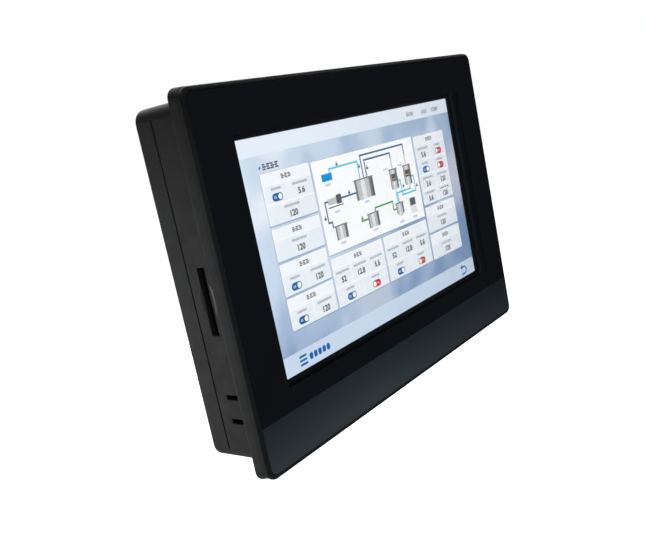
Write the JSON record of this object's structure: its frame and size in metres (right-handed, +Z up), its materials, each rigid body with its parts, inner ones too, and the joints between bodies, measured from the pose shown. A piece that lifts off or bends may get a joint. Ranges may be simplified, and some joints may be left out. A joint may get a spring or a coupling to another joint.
{
  "type": "hmi touch panel",
  "caption": "Panel-mounted operator terminal with a lit touch screen, flanged bezel, card slot and a row of ports.",
  "frame": {"origin": "centre of the bezel, in the plane where the flange's rear face meets the cabinet panel", "axes": "+X to the right seen from the front, +Y back into the cabinet, +Z up"},
  "size_m": [0.2014, 0.0325, 0.1472],
  "materials": {
    "casing": "satin",
    "film": "gloss",
    "glass": "gloss",
    "rubber": "matte",
    "steel": "satin",
    "lcd": "gloss",
    "diffuser": "satin",
    "flex": "satin",
    "board": "satin",
    "chip": "matte",
    "aluminium": "satin",
    "terminal": "satin",
    "port_plastic": "satin",
    "white_plastic": "satin",
    "red_plastic": "satin",
    "label": "satin"
  },
  "bodies": {
    "panel": {"front_housing": "casing", "front_film": "film", "touch_glass": "glass", "touch_tail": "flex", "lcd_foam": "rubber", "lcd_frame": "steel", "lcd_cell": "lcd", "backlight": "diffuser", "lcd_bracket": "steel", "lcd_cable": "white_plastic", "lcd_connector": "white_plastic", "panel_gasket": "rubber", "rear_cover": "casing", "rating_label": "label", "ground_screw": "steel", "main_board": "board", "processor": "chip", "heat_sink": "aluminium", "memory_chip": "chip", "flash_chip": "chip", "power_inductor": "chip", "capacitor": "aluminium", "buzzer": "port_plastic", "battery_holder": "port_plastic", "coin_cell": "steel", "dip_switch": "red_plastic", "reset_switch": "chip", "card_socket": "steel", "serial_port_1": "steel", "serial_port_2": "steel", "ethernet_jack": "steel", "usb_host_port": "steel", "usb_device_port": "steel", "power_header": "terminal", "cover_screw_1": "steel", "board_screw_1": "steel", "jack_screw_1": "steel", "cover_screw_2": "steel", "board_screw_2": "steel", "jack_screw_2": "steel", "cover_screw_3": "steel", "board_screw_3": "steel", "jack_screw_3": "steel", "cover_screw_4": "steel", "board_screw_4": "steel", "jack_screw_4": "steel"},
    "memory_card": {"memory_card": "port_plastic"},
    "power_plug": {"power_plug": "terminal"},
    "reset_button": {"reset_button": "white_plastic"},
    "battery_cover": {"battery_cover": "casing"},
    "terminal_screw_1": {"terminal_screw_1": "steel"},
    "terminal_screw_2": {"terminal_screw_2": "steel"},
    "terminal_screw_3": {"terminal_screw_3": "steel"},
    "dip_lever_1": {"dip_lever_1": "white_plastic"},
    "dip_lever_2": {"dip_lever_2": "white_plastic"},
    "dip_lever_3": {"dip_lever_3": "white_plastic"},
    "dip_lever_4": {"dip_lever_4": "white_plastic"}
  },
  "joints": [
    {"name": "memory_card_slide", "type": "slide", "parent": "panel", "child": "memory_card", "axis": [-1, 0, 0], "range_m": [0, 0.024]},
    {"name": "power_plug_slide", "type": "slide", "parent": "panel", "child": "power_plug", "axis": [0, 0, -1], "range_m": [0, 0.01]},
    {"name": "terminal_screw_1_turn", "type": "hinge", "parent": "power_plug", "child": "terminal_screw_1", "pos_m": [-0.07108, 0.0185, -0.073], "axis": [0, 1, 0], "range_deg": [0, 1080]},
    {"name": "terminal_screw_2_turn", "type": "hinge", "parent": "power_plug", "child": "terminal_screw_2", "pos_m": [-0.066, 0.0185, -0.073], "axis": [0, 1, 0], "range_deg": [0, 1080]},
    {"name": "terminal_screw_3_turn", "type": "hinge", "parent": "power_plug", "child": "terminal_screw_3", "pos_m": [-0.06092, 0.0185, -0.073], "axis": [0, 1, 0], "range_deg": [0, 1080]},
    {"name": "dip_lever_1_slide", "type": "slide", "parent": "panel", "child": "dip_lever_1", "axis": [0, 0, 1], "range_m": [0, 0.0017]},
    {"name": "dip_lever_2_slide", "type": "slide", "parent": "panel", "child": "dip_lever_2", "axis": [0, 0, 1], "range_m": [0, 0.0017]},
    {"name": "dip_lever_3_slide", "type": "slide", "parent": "panel", "child": "dip_lever_3", "axis": [0, 0, 1], "range_m": [0, 0.0017]},
    {"name": "dip_lever_4_slide", "type": "slide", "parent": "panel", "child": "dip_lever_4", "axis": [0, 0, 1], "range_m": [0, 0.0017]},
    {"name": "reset_button_press", "type": "slide", "parent": "panel", "child": "reset_button", "axis": [0, -1, 0], "range_m": [0, 0.0008], "stiffness_N_per_m": 1500},
    {"name": "battery_cover_slide", "type": "slide", "parent": "panel", "child": "battery_cover", "axis": [1, 0, 0], "range_m": [0, 0.003]}
  ]
}
